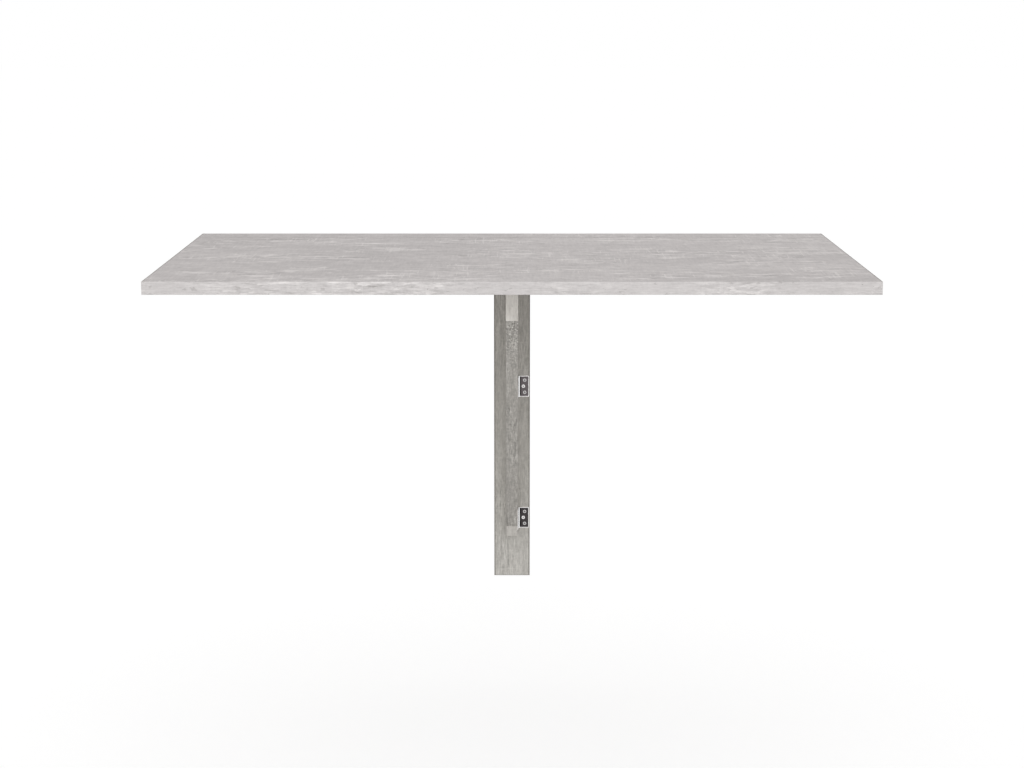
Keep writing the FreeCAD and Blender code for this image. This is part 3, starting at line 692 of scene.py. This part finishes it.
# Hinges: painted plate tones, the way along the pin, and for each plate the way it lies from the pin and
# its facing
HINGES = {
    "upper": (PAINTED_LIGHTER_PLATE_REFLECTION, Z, {"post": (X, -Y), "leg": (-Y, X)}),
    "lower": (PAINTED_DARKER_PLATE_REFLECTION, Z, {"post": (X, -Y), "leg": (-Y, X)}),
    "left": (PAINTED_PLATE_REFLECTION, X, {"strip": (Y, -Z), "leaf": (-Y, -Z)}),
    "right": (PAINTED_PLATE_REFLECTION, X, {"strip": (Y, -Z), "leaf": (-Y, -Z)}),
}

# A plate's face behind the pin's middle, and the places of its screws out from the pin and along it
PLATE_FACE = 1.0 * MM
OUTER_SCREW = 9.6 * MM
INNER_SCREW = 7.4 * MM
HALF_PITCH = 10 * MM

# Painted sheen of screw heads: how much brighter each head is painted, as if it caught more light
NO_SHEEN = 0.0
HALF_SHEEN = 0.5
FULL_SHEEN = 1.0
PLATE_SCREWS = [(OUTER_SCREW, -HALF_PITCH, NO_SHEEN), (INNER_SCREW, 0, FULL_SHEEN), (OUTER_SCREW, HALF_PITCH, NO_SHEEN)]

screw_sites = {}
for name, (plate_tone, along, plates) in HINGES.items():
    low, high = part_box(f"{name}_hinge_pin")
    pin = (low + high) / 2
    steel = hinge_steel(f"{name}_hinge_steel", plate_tone, pin, along)
    dress(f"{name}_hinge_pin", steel)
    for board, (beside, facing) in plates.items():
        dress(f"{name}_hinge_{board}_plate", steel)
        face = pin - facing * PLATE_FACE
        sites = [(face + beside * away + along * run, facing, painted_sheen) for away, run, painted_sheen in PLATE_SCREWS]
        screw_sites.setdefault(f"{board}_hinge_screws", []).extend(sites)

# Screws through the rail and the backing into the post: how deep their heads lie, and places across and up
POST_SCREW_DEPTH = -0.5 * MM
POST_SCREW_PLACES = [(-15, 0), (15, 0), (0, -453), (0, -89)]
screw_sites["post_screws"] = [
    (Vector((x * MM, POST_SCREW_DEPTH, z * MM)), Y, HALF_SHEEN) for x, z in POST_SCREW_PLACES
]


# Countersunk screws with a cross recess, set on the hinge plates and behind the post

PLATE_SCREW_SIZES = {
    "Head Radius": 2.7 * MM,
    "Head Height": 1.2 * MM,
    "Shank Radius": 1.5 * MM,
    "Length": 14 * MM,
    "Recess Length": 3.3 * MM,
    "Recess Width": 0.8 * MM,
    "Recess Depth": 0.9 * MM,
    "Recess Middle": 0.95 * MM,
}
POST_SCREW_SIZES = {
    "Head Radius": 3.75 * MM,
    "Head Height": 1.85 * MM,
    "Shank Radius": 1.9 * MM,
    "Length": 30 * MM,
    "Recess Length": 4.4 * MM,
    "Recess Width": 0.9 * MM,
    "Recess Depth": 1.4 * MM,
    "Recess Middle": 1.2 * MM,
}
SCREW_SIDES = 40
SPIN_SEED = 7
WELD = 0.003 * MM

# Point of a screw, as shares of its shank's radius
POINT_LENGTH = 2.0
POINT_RADIUS = 0.2

# Funnel in the middle of the cross: its sides, then its floor, depth and length as shares of the recess
FUNNEL_SIDES = 16
FUNNEL_FLOOR = 0.4
FUNNEL_DEPTH = 1.1
FUNNEL_LENGTH = 1.2


def screw_tree():
    """Geometry node tree that sets one screw on every point, turned the way the point faces."""
    tree = bpy.data.node_groups.new("countersunk_screws", "GeometryNodeTree")
    tree.interface.new_socket(name="Geometry", in_out="INPUT", socket_type="NodeSocketGeometry")
    for label, usual in PLATE_SCREW_SIZES.items():
        size = tree.interface.new_socket(name=label, in_out="INPUT", socket_type=FLOAT)
        size.default_value = usual
    seed = tree.interface.new_socket(name="Seed", in_out="INPUT", socket_type="NodeSocketInt")
    seed.default_value = SPIN_SEED
    tree.interface.new_socket(name="Finish", in_out="INPUT", socket_type="NodeSocketMaterial")
    tree.interface.new_socket(name="Geometry", in_out="OUTPUT", socket_type="NodeSocketGeometry")
    given = tree.nodes.new("NodeGroupInput").outputs
    leave = tree.nodes.new("NodeGroupOutput").inputs
    shank_radius = given["Shank Radius"]
    recess_depth = given["Recess Depth"]

    def moved(shape, height, turn=(0, 0, 0)):
        offset = add(tree, "ShaderNodeCombineXYZ", {"Z": height}).outputs[0]
        inputs = {"Geometry": shape, "Translation": offset, "Rotation": turn}
        return add(tree, "GeometryNodeTransform", inputs).outputs[0]

    def lowered(shape, drop):
        return moved(shape, times(tree, drop, -1.0))

    def welded(shape):
        """Shape with the corners that lie on each other made one."""
        return add(tree, "GeometryNodeMergeByDistance", {"Geometry": shape, "Distance": WELD}).outputs[0]

    def cone(sides, top, bottom, length, **settings):
        inputs = {"Vertices": sides, "Radius Top": top, "Radius Bottom": bottom, "Depth": length}
        return add(tree, "GeometryNodeMeshCone", inputs, **settings).outputs["Mesh"]

    def wall(top, bottom, length, drop):
        """Open round wall that begins at a depth below the head's face."""
        return lowered(cone(SCREW_SIDES, top, bottom, length, fill_type="NONE"), plus(tree, drop, length))

    def disc(radius):
        inputs = {"Vertices": SCREW_SIDES, "Radius": radius}
        return add(tree, "GeometryNodeMeshCircle", inputs, fill_type="NGON").outputs["Mesh"]

    point_length = times(tree, shank_radius, POINT_LENGTH)
    point_radius = times(tree, shank_radius, POINT_RADIUS)
    point_drop = minus(tree, given["Length"], point_length)
    shank_length = minus(tree, point_drop, given["Head Height"])
    far_end = lowered(disc(point_radius), given["Length"])
    outside = [
        disc(given["Head Radius"]),
        wall(given["Head Radius"], shank_radius, given["Head Height"], 0.0),
        wall(shank_radius, shank_radius, shank_length, given["Head Height"]),
        wall(shank_radius, point_radius, point_length, point_drop),
        add(tree, "GeometryNodeFlipFaces", {"Mesh": far_end}).outputs["Mesh"],
    ]
    blank = tree.nodes.new("GeometryNodeJoinGeometry")
    for shape in outside:
        tree.links.new(shape, blank.inputs[0])

    slot_size = add(tree, "ShaderNodeCombineXYZ", {
        "X": given["Recess Length"],
        "Y": given["Recess Width"],
        "Z": times(tree, recess_depth, 2.0),
    }).outputs[0]
    slot = add(tree, "GeometryNodeMeshCube", {"Size": slot_size}).outputs["Mesh"]
    crossed = moved(slot, 0.0, (0, 0, QUARTER))
    funnel_floor = times(tree, given["Recess Middle"], FUNNEL_FLOOR)
    funnel_length = times(tree, recess_depth, FUNNEL_LENGTH)
    funnel = cone(FUNNEL_SIDES, given["Recess Middle"], funnel_floor, funnel_length)
    funnel = lowered(funnel, times(tree, recess_depth, FUNNEL_DEPTH))
    driver_bit = add(tree, "GeometryNodeMeshBoolean", operation="UNION", solver="EXACT")
    for shape in (slot, crossed, funnel):
        tree.links.new(shape, driver_bit.inputs["Mesh 2"])
    recessed = add(tree, "GeometryNodeMeshBoolean", operation="DIFFERENCE", solver="EXACT")
    tree.links.new(welded(blank.outputs[0]), recessed.inputs["Mesh 1"])
    tree.links.new(welded(driver_bit.outputs["Mesh"]), recessed.inputs["Mesh 2"])

    height = split(tree, tree.nodes.new("GeometryNodeInputPosition").outputs[0])["Z"]
    depth = times(tree, height, -1.0)
    marked = add(
        tree,
        "GeometryNodeStoreNamedAttribute",
        {"Geometry": welded(recessed.outputs["Mesh"]), "Name": "depth", "Value": depth},
        data_type="FLOAT",
        domain="POINT",
    )

    facing = add(tree, "GeometryNodeInputNamedAttribute", {"Name": "facing"}, data_type="FLOAT_VECTOR")
    way = facing.outputs["Attribute"]
    upright = add(tree, "FunctionNodeAlignRotationToVector", {"Vector": way}, axis="Z")
    turns = {2: 0.0, 3: QUARTER, "Seed": given["Seed"]}
    chance = add(tree, "FunctionNodeRandomValue", turns, data_type="FLOAT")
    spin = add(tree, "FunctionNodeAxisAngleToRotation", {"Axis": Z, "Angle": chance.outputs[1]})
    turned = add(
        tree,
        "FunctionNodeRotateRotation",
        {"Rotation": upright.outputs[0], "Rotate By": spin.outputs[0]},
        rotation_space="LOCAL",
    )
    placed = add(tree, "GeometryNodeInstanceOnPoints", {
        "Points": given["Geometry"],
        "Instance": marked.outputs[0],
        "Rotation": turned.outputs[0],
    }).outputs[0]
    real = add(tree, "GeometryNodeRealizeInstances", {"Geometry": placed}).outputs[0]
    finished = add(tree, "GeometryNodeSetMaterial", {"Geometry": real, "Material": given["Finish"]})
    tree.links.new(finished.outputs[0], leave["Geometry"])
    return tree


SCREWS = screw_tree()
ZINC = screw_steel()


def set_screws(name, sites, sizes):
    """Plain mesh of screws at places, each with the way that its head faces and its painted sheen."""
    points = bpy.data.meshes.new(name + "_points")
    points.from_pydata([tuple(place) for place, _, _ in sites], [], [])
    points.attributes.new("facing", "FLOAT_VECTOR", "POINT")
    points.attributes.new("painted_sheen", "FLOAT", "POINT")
    for number, (_, facing, painted_sheen) in enumerate(sites):
        points.attributes["facing"].data[number].vector = facing
        points.attributes["painted_sheen"].data[number].value = painted_sheen
    piece = bpy.data.objects.new(name, points)
    bpy.context.scene.collection.objects.link(piece)
    modifier = piece.modifiers.new("screws", "NODES")
    modifier.node_group = SCREWS
    named = {item.name: item.identifier for item in SCREWS.interface.items_tree if item.in_out == "INPUT"}
    modifier[named["Finish"]] = ZINC
    for label, size in sizes.items():
        modifier[named[label]] = size
    bpy.context.view_layer.update()
    evaluated = piece.evaluated_get(bpy.context.evaluated_depsgraph_get())
    plain = bpy.data.meshes.new_from_object(evaluated)
    piece.modifiers.clear()
    piece.data = plain
    return piece


SCREW_BODIES = {
    "post_hinge_screws": "wall_frame",
    "strip_hinge_screws": "wall_frame",
    "leg_hinge_screws": "support_leg",
    "leaf_hinge_screws": "drop_leaf",
    "post_screws": "wall_frame",
}
for node, body in SCREW_BODIES.items():
    sizes = POST_SCREW_SIZES if node == "post_screws" else PLATE_SCREW_SIZES
    piece = set_screws(node + "_cross", screw_sites[node], sizes)
    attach(piece, body)
    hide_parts(node)


# Floor, light and camera

WHITE = (1, 1, 1, 1)

# Floor: height, half width, tone, and the glow that makes it white to the camera
FLOOR_DROP = -0.703
FLOOR_HALF = 30.0
FLOOR_TONE = grey(203)
FLOOR_GLOW = 0.5

# Light from all round, and one soft lamp in front
WORLD_LEVEL = 0.84
LAMP_PLACE = Vector((0, -4.6, 0.8))
LAMP_TARGET = Vector((0, -0.3, -0.1))
LAMP_SIZE = 3.0
LAMP_WATTS = 47

# Camera, level from side to side and tipped down
SENSOR_WIDTH = 36
LENS = 77.38
CAMERA_PLACE = (0, -3.5441, 0.4313)
CAMERA_PITCH = math.radians(10.1)


def seen_share(tree):
    """One for what the camera sees straight, mirrored or through a clear thing, else nought."""
    path = tree.nodes.new("ShaderNodeLightPath").outputs
    seen = calc(tree, "MAXIMUM", path["Is Camera Ray"], path["Is Glossy Ray"])
    return calc(tree, "MAXIMUM", seen, path["Is Transmission Ray"])


def pale_floor():
    """Pale floor that shows white to the camera, keeps a faint shadow and is clear from below."""
    mesh = bmesh.new()
    bmesh.ops.create_grid(mesh, x_segments=1, y_segments=1, size=FLOOR_HALF)
    data = bpy.data.meshes.new("pale_floor")
    mesh.to_mesh(data)
    mesh.free()
    floor = bpy.data.objects.new("pale_floor", data)
    floor.location = (0, 0, FLOOR_DROP)
    bpy.context.scene.collection.objects.link(floor)
    material = bpy.data.materials.new("pale_floor")
    material.use_nodes = True
    tree = material.node_tree
    tree.nodes.clear()
    matt = add(tree, "ShaderNodeBsdfDiffuse", {"Color": FLOOR_TONE})
    strength = times(tree, seen_share(tree), FLOOR_GLOW)
    glow = add(tree, "ShaderNodeEmission", {"Color": WHITE, "Strength": strength})
    both = add(tree, "ShaderNodeAddShader", {0: matt.outputs[0], 1: glow.outputs[0]})
    below = tree.nodes.new("ShaderNodeNewGeometry").outputs["Backfacing"]
    clear = tree.nodes.new("ShaderNodeBsdfTransparent")
    open_below = add(tree, "ShaderNodeMixShader", {0: below, 1: both.outputs[0], 2: clear.outputs[0]})
    add(tree, "ShaderNodeOutputMaterial", {"Surface": open_below.outputs[0]})
    data.materials.append(material)


def studio_world():
    """White all round: full white to the camera and in reflections, a plain level of light elsewhere."""
    world = bpy.data.worlds.new("studio")
    bpy.context.scene.world = world
    world.use_nodes = True
    tree = world.node_tree
    tree.nodes.clear()
    inputs = {"Value": seen_share(tree), "To Min": WORLD_LEVEL, "To Max": 1.0}
    level = add(tree, "ShaderNodeMapRange", inputs).outputs["Result"]
    sky = add(tree, "ShaderNodeBackground", {"Color": WHITE, "Strength": level})
    add(tree, "ShaderNodeOutputWorld", {"Surface": sky.outputs[0]})


def front_lamp():
    lamp = bpy.data.lights.new("front_lamp", "AREA")
    lamp.shape = "DISK"
    lamp.size = LAMP_SIZE
    lamp.energy = LAMP_WATTS
    holder = bpy.data.objects.new("front_lamp", lamp)
    holder.location = LAMP_PLACE
    holder.rotation_euler = (LAMP_TARGET - LAMP_PLACE).to_track_quat("-Z", "Y").to_euler()
    bpy.context.scene.collection.objects.link(holder)


def photo_view():
    camera = bpy.data.cameras.new("photo_view")
    camera.sensor_width = SENSOR_WIDTH
    camera.lens = LENS
    holder = bpy.data.objects.new("photo_view", camera)
    holder.location = CAMERA_PLACE
    holder.rotation_euler = (QUARTER - CAMERA_PITCH, 0, 0)
    bpy.context.scene.collection.objects.link(holder)
    bpy.context.scene.camera = holder


pale_floor()
studio_world()
front_lamp()
photo_view()
bpy.context.scene.view_settings.view_transform = "Standard"
